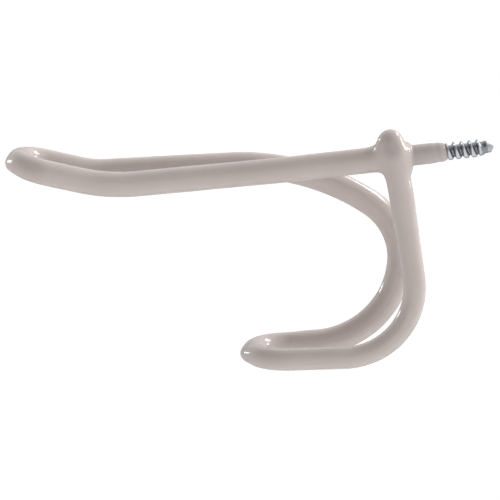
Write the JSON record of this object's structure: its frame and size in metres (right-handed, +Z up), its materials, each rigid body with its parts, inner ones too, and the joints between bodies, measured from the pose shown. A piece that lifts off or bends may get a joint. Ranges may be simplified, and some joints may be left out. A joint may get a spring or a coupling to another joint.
{
  "type": "coat and hat hook",
  "caption": "Bent-wire coat and hat hook with a wood-screw end, a long upturned hat loop, a lower coat loop and a post welded to the arm, dipped in glossy vinyl.",
  "frame": {"origin": "on the screw's axis where the coat ends, which is the wall's surface when the hook is screwed home", "axes": "+Y along the screw into the wall, +Z up, -Y towards the hat loop's end; the post is welded on the +X side of the arm"},
  "size_m": [0.0254, 0.131, 0.0684],
  "materials": {
    "zinc_steel": "bright zinc-plated steel wire with a rolled thread",
    "vinyl": "glossy light grey vinyl dip coat"
  },
  "bodies": {
    "root": {"steel_wire": "zinc_steel", "vinyl_coat": "vinyl"}
  },
  "joints": []
}
